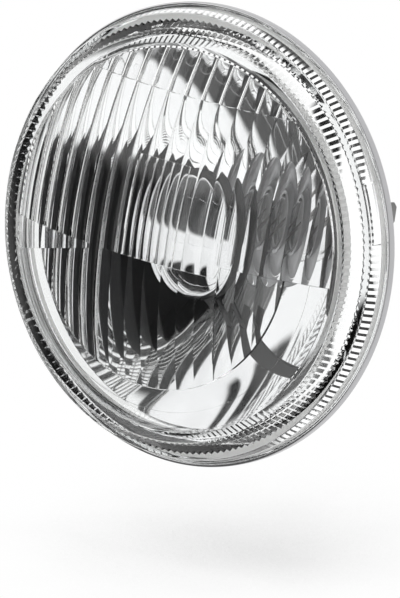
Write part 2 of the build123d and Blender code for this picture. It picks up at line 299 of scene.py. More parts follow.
def turned_tree(name):
    """Geometry group that turns a profile about the optical axis, with grooves where it asks for them.

    A profile is a row of points: X is the radius, Y the depth and Z the depth of a groove at that point.
    """
    tree, given = new_group(name, {"Profile": "Geometry", "Segments": "Int", "Ribs": "Int",
                                   "Crease": "Float", "Finish": "Material"})
    profile = given["Profile"]
    rows = tree.add("GeometryNodeAttributeDomainSize", {"Geometry": profile})
    columns = given["Segments"] + 1
    grid = tree.add("GeometryNodeMeshGrid", {"Vertices X": rows, "Vertices Y": columns})
    index = tree.add("GeometryNodeInputIndex")
    row = tree.maths("FLOOR", (index + 0.5) / columns)
    column = index - row * columns
    position = tree.add("GeometryNodeInputPosition")
    point = tree.add("GeometryNodeSampleIndex", {"Geometry": profile, "Value": position, "Index": row},
                     data_type="FLOAT_VECTOR", domain="POINT")
    radius, depth, groove = tree.parts(point)
    share = column / given["Segments"]
    wave = 2 * tree.maths("PINGPONG", share * given["Ribs"], 0.5)
    reach = radius - groove * wave
    turn = share * math.tau
    across, above = reach * tree.maths("COSINE", turn), reach * tree.maths("SINE", turn)
    place = tree.add("ShaderNodeCombineXYZ", {0: across, 1: depth, 2: above})
    turned_grid = tree.add("GeometryNodeSetPosition", {"Geometry": grid, "Position": place})
    closed = tree.add("GeometryNodeMergeByDistance", {"Geometry": turned_grid, "Distance": weld})
    smooth = tree.add("GeometryNodeSetShadeSmooth", {"Geometry": closed})
    angle = tree.add("GeometryNodeInputMeshEdgeAngle")
    sharp = tree.add("FunctionNodeCompare", {"A": angle, "B": given["Crease"]},
                     data_type="FLOAT", operation="GREATER_THAN")
    marked = tree.add("GeometryNodeStoreNamedAttribute",
                      {"Geometry": smooth, "Name": "sharp_edge", "Value": sharp},
                      data_type="BOOLEAN", domain="EDGE")
    whole = tree.add("GeometryNodeRealizeInstances", {"Geometry": marked})
    done = tree.add("GeometryNodeSetMaterial", {"Geometry": whole, "Material": given["Finish"]})
    tree.add("NodeGroupOutput", {0: done})
    return tree.data


def coil_tree(name):
    """Geometry group that winds a wire into a coil along the optical axis."""
    tree, given = new_group(name, {"Place": "Geometry", "Turns": "Float", "Radius": "Float",
                                   "Length": "Float", "Wire": "Float", "Finish": "Material"})
    spiral = tree.add("GeometryNodeCurveSpiral",
                      {"Resolution": 14, "Rotations": given["Turns"], "Start Radius": given["Radius"],
                       "End Radius": given["Radius"], "Height": given["Length"]})
    ring = tree.add("GeometryNodeCurvePrimitiveCircle", {"Resolution": 8, "Radius": given["Wire"]})
    wound = tree.add("GeometryNodeCurveToMesh",
                     {"Curve": spiral, "Profile Curve": ring, "Fill Caps": True})
    laid = tree.add("GeometryNodeTransform",
                    {"Geometry": wound, "Rotation": (-math.pi / 2, 0.0, 0.0)})
    placed = tree.add("GeometryNodeInstanceOnPoints", {"Points": given["Place"], "Instance": laid})
    whole = tree.add("GeometryNodeRealizeInstances", {"Geometry": placed})
    smooth = tree.add("GeometryNodeSetShadeSmooth", {"Geometry": whole})
    done = tree.add("GeometryNodeSetMaterial", {"Geometry": smooth, "Material": given["Finish"]})
    tree.add("NodeGroupOutput", {0: done})
    return tree.data


def tool(name, make):
    """Geometry group by name, made once."""
    return bpy.data.node_groups.get(name) or make(name)


def add_object(name, data):
    """New object in the scene."""
    made = bpy.data.objects.new(name, data)
    bpy.context.scene.collection.objects.link(made)
    return made


def baked(source, name, material):
    """Mesh of an object as its modifiers leave it, in one finish."""
    bpy.context.view_layer.update()
    graph = bpy.context.evaluated_depsgraph_get()
    result = bpy.data.meshes.new_from_object(source.evaluated_get(graph), preserve_all_data_layers=True,
                                             depsgraph=graph)
    result.name = name
    result.materials.clear()
    result.materials.append(material)
    result.polygons.foreach_set("material_index", [0] * len(result.polygons))
    return result


@contextlib.contextmanager
def editing(mesh, *others):
    """Opens a mesh for editing, with other meshes added to it, and writes it back."""
    work = bmesh.new()
    for source in (mesh, *others):
        work.from_mesh(source)
    yield work
    work.to_mesh(mesh)
    work.free()


def face_outwards(work):
    """Turns every face of a closed mesh outwards."""
    bmesh.ops.recalc_face_normals(work, faces=work.faces)


def merge(work, distance):
    """Merges the corners that lie together."""
    bmesh.ops.remove_doubles(work, verts=work.verts, dist=distance)


def grow(name, points, group, inputs):
    """Runs a geometry group on a row of points and returns the result as a plain mesh object."""
    mesh = bpy.data.meshes.new(name + "_profile")
    mesh.from_pydata(points, [(i, i + 1) for i in range(len(points) - 1)], [])
    source = add_object(name + "_profile", mesh)
    modifier = source.modifiers.new("Build", "NODES")
    modifier.node_group = group
    for item in group.interface.items_tree:
        if item.in_out == "INPUT" and item.name in inputs:
            modifier[item.identifier] = inputs[item.name]
    result = baked(source, name, inputs["Finish"])
    bpy.data.objects.remove(source)
    bpy.data.meshes.remove(mesh)
    return add_object(name, result)


def turned(name, profile, material, segments=192, ribs=0, crease=25.0):
    """Closed turned piece from its profile in millimetres."""
    points = [tuple(value * mm for value in (*point, 0.0)[:3]) for point in profile]
    inputs = {"Segments": segments, "Ribs": ribs, "Crease": math.radians(crease), "Finish": material}
    piece = grow(name, points, tool("Turned Piece", turned_tree), inputs)
    with editing(piece.data) as work:
        face_outwards(work)
    return piece


def rounded(corners, steps=4):
    """Profile whose corners are rounded: each corner is radius, depth and rounding, in millimetres."""
    points = []
    for i, (r, y, rounding) in enumerate(corners):
        here = Vector((r, y))
        if rounding == 0.0 or i in (0, len(corners) - 1):
            points.append((r, y))
            continue
        before = Vector(corners[i - 1][:2]) - here
        after = Vector(corners[i + 1][:2]) - here
        cut_before = before.normalized() * rounding
        cut_after = after.normalized() * rounding
        for k in range(steps + 1):
            t = k / steps
            spot = here + cut_before * (1 - t) ** 2 + cut_after * t ** 2
            points.append((spot.x, spot.y))
    return points


def dome_arc(radius, front, angles):
    """Points of a profile on a dome, by their angles from its front."""
    return [(radius * math.sin(a), front + radius * (1 - math.cos(a))) for a in angles]


def mesh_piece(name, points, faces, material, smooth=True):
    """Mesh object from points in metres."""
    mesh = bpy.data.meshes.new(name)
    mesh.from_pydata(points, [], faces)
    mesh.materials.append(material)
    mesh.polygons.foreach_set("use_smooth", [smooth] * len(mesh.polygons))
    return add_object(name, mesh)


def soften(name, node, slot, material, width=0.12):
    """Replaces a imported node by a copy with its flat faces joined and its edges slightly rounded."""
    mesh = bpy.data.meshes.new(name + "_solid")
    with editing(mesh, frame["nodes"][node].data) as work:
        merge(work, weld)
        bmesh.ops.dissolve_limit(work, angle_limit=math.radians(0.5), verts=work.verts, edges=work.edges)
    mesh.polygons.foreach_set("use_smooth", [True] * len(mesh.polygons))
    source = add_object(name, mesh)
    bevel = source.modifiers.new("Edges", "BEVEL")
    bevel.width = width * mm
    bevel.segments = 2
    bevel.limit_method = "ANGLE"
    bevel.angle_limit = math.radians(40)
    bevel.harden_normals = True
    result = baked(source, name, material)
    source.modifiers.remove(bevel)
    source.data = result
    bpy.data.meshes.remove(mesh)
    fit(source, "insert", slot, node)


def wire_piece(name, path, radius, material, sides=12):
    """Bent round wire along points in millimetres."""
    curve = bpy.data.curves.new(name, "CURVE")
    curve.dimensions = "3D"
    curve.bevel_depth = radius * mm
    curve.bevel_resolution = sides // 4
    curve.use_fill_caps = True
    line = curve.splines.new("POLY")
    line.points.add(len(path) - 1)
    for point, spot in zip(line.points, path):
        point.co = (spot[0] * mm, spot[1] * mm, spot[2] * mm, 1.0)
    line.use_smooth = True
    source = add_object(name + "_path", curve)
    mesh = baked(source, name, material)
    bpy.data.objects.remove(source)
    bpy.data.curves.remove(curve)
    with editing(mesh) as work:
        merge(work, weld)
        face_outwards(work)
    return add_object(name, mesh)


def bent(corners, radius, steps=6):
    """Path of a bent wire: corners in millimetres joined by arcs."""
    spots = [Vector(corner) for corner in corners]
    path = [spots[0]]
    for before, here, after in zip(spots, spots[1:], spots[2:]):
        first = (before - here).normalized()
        second = (after - here).normalized()
        half = first.angle(second) / 2
        shorter = min((before - here).length, (after - here).length)
        cut = min(radius / math.tan(half), 0.45 * shorter)
        reach = cut * math.tan(half)
        centre = here + (first + second).normalized() * (reach / math.sin(half))
        start = here + first * cut - centre
        end = here + second * cut - centre
        path.extend(centre + start.slerp(end, k / steps) for k in range(steps + 1))
    path.append(spots[-1])
    return path


def extent(node):
    """Front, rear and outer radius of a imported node, in millimetres."""
    low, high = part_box(node)
    return low.y / mm, high.y / mm, high.x / mm


def fit(piece, body, slot, *nodes):
    """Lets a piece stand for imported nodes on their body."""
    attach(piece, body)
    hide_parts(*nodes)


def join(first, second, merged=True):
    """Joins the second mesh into the first, and merges what meets where that is asked for."""
    with editing(first.data, second.data) as work:
        if merged:
            merge(work, seam)
            face_outwards(work)
    bpy.data.objects.remove(second)


def paint(node, material):
    """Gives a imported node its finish."""
    data = frame["nodes"][node].data
    data.materials.clear()
    data.materials.append(material)


def bowl_depth(bowl, radius):
    """Depth of the mirrored face at a radius, all in metres."""
    apex = -bowl.sheet + bowl.mouth_radius ** 2 / (4 * bowl.focal_length)
    return apex - radius ** 2 / (4 * bowl.focal_length)


# Optical blocks: level of the block and depth of its flutes, in millimetres, and their share of the pitch
blocks = {
    "row": (0.5, 1.15, 1.0),
    "field": (0.0, 0.55, 1.0),
    "centre": (-0.35, 0.3, 0.5),
    "wedge": (0.7, 0.15, 1.0),
    "left": (0.125, 0.55, 1.0),
    "middle": (0.7, 0.15, 1.0),
    "right": (0.95, 0.35, 1.0),
    "inner_band": (-0.15, 0.0, 1.0),
    "outer_band": (-0.4, 0.0, 1.0),
    "rim": (-0.8, 0.0, 1.0),
}

# Distance of the mesh points along a flute, and how far their rows are shifted to miss the block lines
mesh_step = 2.6
mesh_shift = 0.7


class Pattern:
    """Layout of the optical blocks in front view, in millimetres."""

    def __init__(self, lens):
        root = 1 - lens.rib_depth / lens.rib_foot_radius
        self.pitch = lens.flute_pitch / mm
        self.edge = (lens.rib_top_radius * root - lens.crown_width) / mm
        self.bore = self.edge - lens.wall / mm
        self.optic = self.bore - lens.ledge / mm
        self.dome = lens.dome_radius / mm
        self.centre = lens.rib_top / mm + math.sqrt(self.dome ** 2 - self.edge ** 2)
        self.inner = self.dome - lens.thickness / mm
        self.row_line = self.optic - 13.2
        self.field_line = -5.8
        self.right_line = -2.0
        self.right_from = 26.0
        self.block_half = 1.5 * self.pitch
        self.block_top = 26.0
        self.wedge_x = -22.6
        self.wedge_z = self.field_line - 1.4
        self.slope = math.tan(math.radians(15.0))
        self.left_to = -17.0
        self.outer_arc = self.optic - 5.8
        self.inner_arc = self.outer_arc - 7.2

    def wedge_line(self, x):
        """Lower border of the wedge."""
        return self.wedge_z - (self.wedge_x - x) * self.slope

    def block(self, x, z):
        """Name of the block at a point."""
        radius = math.hypot(x, z)
        if radius > self.optic:
            return "rim"
        if z > self.row_line:
            return "row"
        if abs(x) < self.block_half and self.field_line < z < self.block_top:
            return "centre"
        if z > (self.right_line if x > self.right_from else self.field_line):
            return "field"
        if x < self.wedge_x and z > self.wedge_line(x):
            return "wedge"
        if radius > self.outer_arc:
            return "outer_band"
        if radius > self.inner_arc:
            return "inner_band"
        if x < self.left_to:
            return "left"
        return "right" if x > self.right_from else "middle"

    def column(self, x, name, at):
        """Distance of a flute from the centre line of the dome, for the flute that holds the place at."""
        level, sag, share = blocks[name]
        flat = self.inner + level
        if sag == 0.0:
            return math.sqrt(flat ** 2 - x ** 2)
        pitch = self.pitch * share
        start = math.floor(at / pitch + 1e-9) * pitch
        first = math.sqrt(flat ** 2 - start ** 2)
        last = math.sqrt(flat ** 2 - (start + pitch) ** 2)
        half = pitch / 2
        curve = (half ** 2 + sag ** 2) / (2 * sag)
        chord = first + (last - first) * (x - start) / pitch
        return chord + math.sqrt(curve ** 2 - (x - start - half) ** 2) - curve + sag

    def depth(self, x, z, name, at=None):
        """Depth of the inner face of a block at a point."""
        column = self.column(x, name, x if at is None else at)
        return self.centre - math.sqrt(column ** 2 - z ** 2)

    def normal(self, x, z, name, at):
        """Normal of the inner face of a block at a point."""
        near = 0.001
        column = self.column(x, name, at)
        slope = (self.column(x + near, name, at) - self.column(x - near, name, at)) / (2 * near)
        span = math.sqrt(column ** 2 - z ** 2)
        return Vector((column * slope / span, 1.0, -z / span)).normalized()

    def outlines(self):
        """Lines that the mesh follows: chains of points in front view."""
        far = self.bore + 1.0
        chains = []

        def arc(radius, keep):
            run = []
            for angle in np.linspace(0, math.tau, 361):
                spot = (radius * math.cos(angle), radius * math.sin(angle))
                if keep(*spot):
                    run.append(spot)
                elif run:
                    chains.append(run)
                    run = []
            if run:
                chains.append(run)

        def low(x, z):
            return z < (self.right_line if x > 0 else self.wedge_line(x)) + 1.0

        arc(self.optic, lambda x, z: True)
        arc(self.outer_arc, low)
        arc(self.inner_arc, low)
        half, top, field = self.block_half, self.block_top, self.field_line
        right, start, foot = self.right_line, self.right_from, -self.inner_arc
        lines = [
            (-far, self.row_line, far, self.row_line),
            (-far, field, start, field),
            (start, right, far, right),
            (start, right, start, foot),
            (self.left_to, field, self.left_to, foot),
            (self.wedge_x, field, self.wedge_x, self.wedge_z),
            (self.wedge_x, self.wedge_z, -far, self.wedge_line(-far)),
            (-half, field, -half, top),
            (half, field, half, top),
            (-half, top, half, top),
        ]
        count = int(self.bore // self.pitch)
        lines.extend((i * self.pitch, -far, i * self.pitch, far) for i in range(-count, count + 1))
        lines.extend((i * self.pitch / 2, field, i * self.pitch / 2, top) for i in (-3, -1, 1, 3))
        return chains + [[(x0, z0), (x1, z1)] for x0, z0, x1, z1 in lines]


def clipped(chain, radius):
    """Part of a chain inside a circle, in short steps."""
    result = []
    for (x0, z0), (x1, z1) in zip(chain, chain[1:]):
        steps = max(2, int(math.hypot(x1 - x0, z1 - z0) / mesh_step) + 1)
        for t in np.linspace(0.0, 1.0, steps):
            spot = (x0 + (x1 - x0) * t, z0 + (z1 - z0) * t)
            if math.hypot(*spot) < radius and (not result or math.dist(spot, result[-1]) > 1e-3):
                result.append(spot)
    return result


def inner_face(pattern, segments, material):
    """Inner face of the lens: one patch for each block, with walls where two blocks meet."""
    angles = [math.tau * k / segments for k in range(segments)]
    spots = [(pattern.bore * math.cos(a), pattern.bore * math.sin(a)) for a in angles]
    edges = [(k, (k + 1) % segments) for k in range(segments)]
    ring_gap, line_gap, together = 0.02, 0.3, 1e-4
    for chain in pattern.outlines():
        cut = clipped(chain, pattern.bore - ring_gap)
        first = len(spots)
        spots.extend(cut)
        edges.extend((first + k, first + k + 1) for k in range(len(cut) - 1))
    fine = pattern.pitch / 10
    count = int(pattern.optic / fine)
    rows = int(pattern.optic / mesh_step) + 1
    for i in range(-count, count + 1):
        for j in range(-rows, rows + 1):
            spot = (i * fine, j * mesh_step + mesh_shift)
            if math.hypot(*spot) < pattern.optic - line_gap:
                spots.append(spot)
    flat = [Vector(spot) for spot in spots]
    corners, _, triangles, *_ = delaunay_2d_cdt(flat, edges, [], 0, together)
    points = []
    copies = {}
    levels = {}
    faces = []
    sides = {}

    def copy(corner, name):
        key = (corner, name)
        if key not in copies:
            x, z = corners[corner]
            copies[key] = len(points)
            points.append((x * mm, pattern.depth(x, z, name) * mm, z * mm))
            levels.setdefault(corner, []).append(copies[key])
        return copies[key]

    for triangle in triangles:
        x = sum(corners[c][0] for c in triangle) / 3
        z = sum(corners[c][1] for c in triangle) / 3
        name = pattern.block(x, z)
        faces.append([copy(c, name) for c in reversed(triangle)])
        for a, b in zip(triangle, triangle[1:] + triangle[:1]):
            sides.setdefault((min(a, b), max(a, b)), []).append(name)
    for ends, names in sides.items():
        if len(names) == 2 and names[0] != names[1]:
            faces.append(wall(points, levels, copies, ends, names))
    return mesh_piece("lens_inner_face", points, [f for f in faces if len(f) > 2], material)


def wall(points, levels, copies, ends, names):
    """Step between two blocks along one edge, with every corner that lies on it."""

    def depth(index):
        return points[index][1]

    sides = []
    for corner in ends:
        low, high = sorted((depth(copies[(corner, name)]) for name in names))
        between = [index for index in levels[corner] if low <= depth(index) <= high]
        sides.append(sorted(between, key=depth))
    return sides[0] + list(reversed(sides[1]))


def lens_profile(lens, pattern):
    """Outer profile of the lens from the middle of the dome to the edge of the inner face."""
    points = []
    for k in range(25):
        angle = math.asin(pattern.edge / pattern.dome) * k / 24
        depth = pattern.centre - pattern.dome * math.cos(angle)
        points.append((pattern.dome * math.sin(angle), depth, 0.0))
    foot, top = lens.rib_foot / mm, lens.rib_top / mm
    foot_radius, top_radius = lens.rib_foot_radius / mm, lens.rib_top_radius / mm
    groove = lens.rib_depth / mm
    crown_in, crown_out = 0.35, 0.12
    points.append((top_radius - crown_in, top - crown_out, groove * 0.5))
    for t in (0.0, 0.25, 0.5, 0.75, 1.0):
        points.append((top_radius + (foot_radius - top_radius) * t, top + (foot - top) * t, groove))
    outer = lens.rim_radius / mm
    rear = lens.rim_rear / mm
    front = rear - lens.rim_step / mm
    draft = lens.rim_draft / mm
    lean = draft / (front - foot)
    rim = rounded([
        (foot_radius, foot, 0.0),
        (outer - draft, foot, 0.7),
        (outer - draft + 0.8 * lean, foot + 0.8, 0.0),
        (outer - draft + 1.1 * lean, foot + 1.1, 0.0),
        (outer, front, 0.8),
        (outer, front + 1.1, 0.0),
        (outer, front + 1.4, 0.0),
        (outer, rear, 0.5),
        (pattern.bore, rear, 0.4),
        (pattern.bore, pattern.depth(pattern.bore, 0.0, "rim"), 0.0),
    ], 5)
    points.extend((r, y, 0.0) for r, y in rim)
    return points


def smooth_by_angle(piece, degrees):
    """Marks the edges sharper than an angle and smooths the rest."""
    limit = math.radians(degrees)
    with editing(piece.data) as work:
        for edge in work.edges:
            edge.smooth = len(edge.link_faces) == 2 and edge.calc_face_angle(math.pi) < limit
        for face in work.faces:
            face.smooth = True


def raise_pad(piece, lens):
    """Raises the locating pad on the side of the rim."""
    pad_from, pad_to = 11.3, 26.5
    foot, rear = lens.rib_foot / mm + 1.0, (lens.rim_rear - lens.rim_step) / mm + 1.2
    for vertex in piece.data.vertices:
        x, y, z = vertex.co / mm
        angle = math.degrees(math.atan2(z, x))
        if foot < y < rear and pad_from < angle < pad_to:
            reach = math.hypot(x, z)
            share = (reach + lens.pad_height / mm) / reach
            vertex.co = Vector((x * share, y, z * share)) * mm


def true_normals(piece, pattern):
    """Gives the inner face of the lens the exact normals of its flutes."""
    on_face = 0.01
    mesh = piece.data
    normals = [Vector((0.0, 0.0, 0.0))] * len(mesh.loops)
    for polygon in mesh.polygons:
        x, _, z = polygon.center / mm
        if math.hypot(x, z) > pattern.bore:
            continue
        name = pattern.block(x, z)
        corners = [mesh.vertices[index].co / mm for index in polygon.vertices]
        if all(abs(c.y - pattern.depth(c.x, c.z, name, x)) < on_face for c in corners):
            for loop, c in zip(polygon.loop_indices, corners):
                normals[loop] = pattern.normal(c.x, c.z, name, x)
    mesh.normals_split_custom_set(normals)


class HEADLIGHT_OT_lens(bpy.types.Operator):
    """Builds the pressed lens with its ribs, rim and inner flutes"""

    bl_idname = "headlight.lens"
    bl_label = "Lens"

    def execute(self, context):
        lens = context.scene.headlight_lens
        pattern = Pattern(lens)
        material = finish("Pressed glass")
        segments = 4 * lens.rib_count
        piece = turned("pressed_lens", lens_profile(lens, pattern), material, segments, lens.rib_count)
        join(piece, inner_face(pattern, segments, material))
        raise_pad(piece, lens)
        smooth_by_angle(piece, 14.0)
        true_normals(piece, pattern)
        fit(piece, "insert", "lens_glass", "lens")
        return {"FINISHED"}


class HEADLIGHT_OT_bowl(bpy.types.Operator):
    """Builds the silvered bowl with its flange and neck"""

    bl_idname = "headlight.bowl"
    bl_label = "Bowl"

    def execute(self, context):
        bowl = context.scene.headlight_bowl
        piece = turned("silvered_bowl", self.profile(bowl), finish("Silvering"), 256, 0, 30.0)
        piece.data.materials.append(finish("Zinc plate"))
        for polygon in piece.data.polygons:
            x, y, z = polygon.center
            polygon.material_index = 1 if self.plated(bowl, math.hypot(x, z), y) else 0
        fit(piece, "insert", "mirror", "reflector")
        return {"FINISHED"}

    def profile(self, bowl):
        """Section of the sheet, from the mouth to the neck inside and back outside."""
        sheet, neck = bowl.sheet / mm, bowl.neck_radius / mm
        mouth, rim = bowl.mouth_radius / mm, bowl.rim_radius / mm
        focal = bowl.focal_length / mm
        rear, flange = bowl.neck_rear / mm, bowl.neck_flange / mm
        lip = -sheet - bowl.lip_depth / mm
        back = sheet * math.hypot(1, neck / (2 * focal))

        def depth(radius):
            return bowl_depth(bowl, radius * mm) / mm

        turn = math.sqrt(4 * focal * (depth(0.0) + back))
        inside = [(r, depth(r)) for r in np.linspace(mouth, neck, 48)]
        collar = rounded([
            (neck, inside[-1][1], 0.0), (neck, rear, 0.6), (flange, rear, 0.35),
            (flange, rear - sheet, 0.35), (neck + sheet, rear - sheet, 0.6),
            (neck + sheet, depth(neck + sheet) + back, 0.0),
        ])
        outside = [(r, depth(r) + back) for r in np.linspace(neck + sheet, turn, 40)]
        edge = rounded([
            (turn, 0.0, 0.0), (rim, 0.0, 0.9), (rim, lip, 0.4), (rim - sheet, lip, 0.4),
            (rim - sheet, -sheet, 0.4), (mouth, -sheet, 0.0),
        ])
        return inside + collar[1:] + outside[1:] + edge[1:]

    def plated(self, bowl, radius, y):
        """Whether a face at a radius and depth lies on the plated rear or rim of the sheet, in metres."""
        if radius < bowl.neck_radius + 0.5 * bowl.sheet:
            return y > bowl.neck_rear - 0.5 * mm
        if radius < bowl.mouth_radius + 0.5 * mm:
            return y > bowl_depth(bowl, radius) + 0.3 * mm
        return y > -0.7 * bowl.sheet or radius > bowl.rim_radius - 0.3 * bowl.sheet


class HEADLIGHT_OT_glue(bpy.types.Operator):
    """Builds the white bead between the rim of the lens and the flange"""

    bl_idname = "headlight.glue"
    bl_label = "Glue bead"

    def execute(self, context):
        front, rear, outer = extent("lens_glue")
        wetting, rear_gap, edge_gap, inner = 0.06, 0.02, 0.05, 66.8
        front, rear, outer = front - wetting, rear - rear_gap, outer - edge_gap
        bead = rounded([(inner, rear, 0.0), (inner, front, 0.2), (outer, front, 0.2), (outer, rear, 0.2),
                        (inner, rear, 0.0)])
        piece = turned("glue_ring", bead, finish("Glue bead"), 192)
        fit(piece, "insert", "glue", "lens_glue")
        return {"FINISHED"}


class HEADLIGHT_OT_shield(bpy.types.Operator):
    """Builds the chrome cap in front of the bulb and its bracket"""

    bl_idname = "headlight.shield"
    bl_label = "Bulb shield"

    def execute(self, context):
        front, rear, radius = extent("bulb_shield")
        dome, wall_width, inset = 28.0, 0.6, 2.0
        spread = math.asin(radius / dome)
        shoulder = front + dome * (1 - math.cos(spread))
        bore, hollow = radius - wall_width, dome - wall_width
        outer = dome_arc(dome, front, np.linspace(0.0, 0.9 * spread, 20))
        skirt = rounded([
            (*outer[-1], 0.0), (radius, shoulder, 1.6), (radius, rear, 0.25), (bore, rear, 0.25),
            (bore, shoulder + inset, 0.0),
        ])
        inner = dome_arc(hollow, front + wall_width, np.linspace(math.asin(bore / hollow), 0.0, 16))
        piece = turned("shield_cap", outer + skirt[1:] + inner, finish("Shield chrome"), 128)
        piece.data.materials.append(finish("Black coat"))
        middle = dome - wall_width / 2
        for polygon in piece.data.polygons:
            x, y, z = polygon.center / mm
            skin = front + dome - math.sqrt(middle ** 2 - math.hypot(x, z) ** 2)
            polygon.material_index = 1 if y > min(shoulder - wall_width, skin) else 0
        fit(piece, "insert", "shield_chrome", "bulb_shield")
        soften("shield_strip", "shield_bracket", "plated_steel", finish("Black coat"))
        return {"FINISHED"}


class HEADLIGHT_OT_bulb(bpy.types.Operator):
    """Builds the bulb: glass, filaments, wires, shell, collar, end piece and blades"""

    bl_idname = "headlight.bulb"
    bl_label = "Bulb"

    def execute(self, context):
        self.glass()
        self.filaments()
        self.shell()
        self.end_piece()
        self.blades()
        return {"FINISHED"}

    def glass(self):
        """Tube with a rounded tip and a solid foot."""
        tip, foot, radius = extent("bulb_glass")
        wall_width, dome, well = 1.2, 12.0, foot - 8.5
        bore, hollow = radius - wall_width, dome - wall_width
        outer = dome_arc(dome, tip, np.linspace(0.0, math.asin(radius / dome), 14))
        tube = rounded([(radius, outer[-1][1], 0.0), (radius, foot, 0.5), (0.0, foot, 0.0)])
        inner = dome_arc(hollow, tip + wall_width, np.linspace(math.asin(bore / hollow), 0.0, 14))
        material = finish("Bulb glass")
        outside = turned("bulb_tube", outer + tube[1:], material, 72, 0, 40.0)
        room = turned("bulb_room", [(0.0, well), (bore, well)] + inner, material, 72, 0, 40.0)
        with editing(room.data) as work:
            bmesh.ops.reverse_faces(work, faces=work.faces)
        join(outside, room, False)
        fit(outside, "insert", "bulb_glass", "bulb_glass")

    def filaments(self):
        """Two coils, the dip cup and the wires that carry them."""
        material = finish("Filament wire")
        coil, end_gap, lead_gap, post = 0.6, 0.2, 0.3, 3.45
        for node, z in (("main_filament", 0.0), ("dip_filament", 1.2)):
            front, rear, _ = extent(node)
            sizes = {"Turns": 9.0, "Radius": coil * mm, "Length": (rear - front - 2 * end_gap) * mm,
                     "Wire": 0.14 * mm, "Finish": material}
            start = (0.0, (front + end_gap) * mm, z * mm)
            piece = grow(node + "_coil", [start], tool("Wound Coil", coil_tree), sizes)
            near, far = front + lead_gap, rear - lead_gap
            if node == "main_filament":
                routes = [((-post, near, z), (-coil, near, z)), ((coil, far, z), (post, far, z))]
            else:
                routes = [((-post, far, z), (-coil, far, z)), ((0.0, near, -1.2), (0.0, near, z - 0.5))]
            for route in routes:
                join(piece, wire_piece("lead", route, 0.18, material))
            fit(piece, "insert", "tungsten", node)
        paint("dip_cup", material)
        paint("lead_wires", material)

    def shell(self):
        """Turned shell and collar."""
        plate = finish("Zinc plate")
        front, rear, radius = extent("bulb_base")
        step = extent("bulb_collar")[1]
        stem, bore, floor = 10.5, 8.9, front + 13.5
        shell = rounded([
            (0.0, floor, 0.0), (bore, floor, 0.3), (bore, front, 0.3), (stem, front, 0.3),
            (stem, step, 0.0), (radius - 0.6, step, 0.3), (radius - 0.6, step + 2.0, 0.5),
            (radius, step + 2.6, 0.4), (radius, rear - 2.2, 0.4), (radius - 0.5, rear - 1.7, 0.3),
            (radius - 0.5, rear, 0.0), (0.0, rear, 0.0),
        ])
        base = turned("bulb_shell", shell, plate, 128)
        fit(base, "insert", "plated_steel", "bulb_base")
        soften("focus_collar", "bulb_collar", "plated_steel", plate)

    def end_piece(self):
        """Moulded end that holds the terminals."""
        front, rear, radius = extent("base_insulator")
        end = rounded([
            (0.0, front, 0.0), (radius - 0.4, front, 0.2), (radius - 0.4, front + 1.2, 0.2),
            (radius, front + 1.6, 0.3), (radius, rear - 0.6, 0.5), (radius - 1.0, rear, 0.4),
            (radius - 2.2, rear, 0.3), (radius - 2.6, rear - 0.5, 0.3), (0.0, rear - 0.5, 0.0),
        ])
        piece = turned("end_piece", end, finish("Black plastic"), 128)
        fit(piece, "insert", "insulator_plastic", "base_insulator")

    def blades(self):
        """Three flat terminals."""
        metal = finish("Blade metal")
        for node in ("left_blade", "right_blade", "top_blade"):
            soften(node + "_terminal", node, "blade_metal", metal, 0.15)


class HEADLIGHT_OT_holder(bpy.types.Operator):
    """Builds the holder plate at the neck and the wire clip"""

    bl_idname = "headlight.holder"
    bl_label = "Bulb holder and clip"

    def execute(self, context):
        soften("holder_plate", "bulb_holder", "plated_steel", finish("Zinc plate"), 0.15)
        _, y, z = (value / mm for value in frame["joints"][0]["pos_m"])
        low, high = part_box("bulb_clip")
        wire, bend, leg, grip = 0.8, 1.8, 14.5, 4.2
        half = [
            (high.x / mm, y, z),
            (leg, y, z),
            (leg, y, -18.0),
            (grip, y, -26.7),
            (grip, y, low.z / mm + wire),
        ]
        corners = half + [(-x, y, z) for x, y, z in reversed(half)]
        clip = wire_piece("wire_clip", bent(corners, bend), wire, finish("Spring wire"), 16)
        fit(clip, "clip", "spring_wire", "bulb_clip")
        return {"FINISHED"}


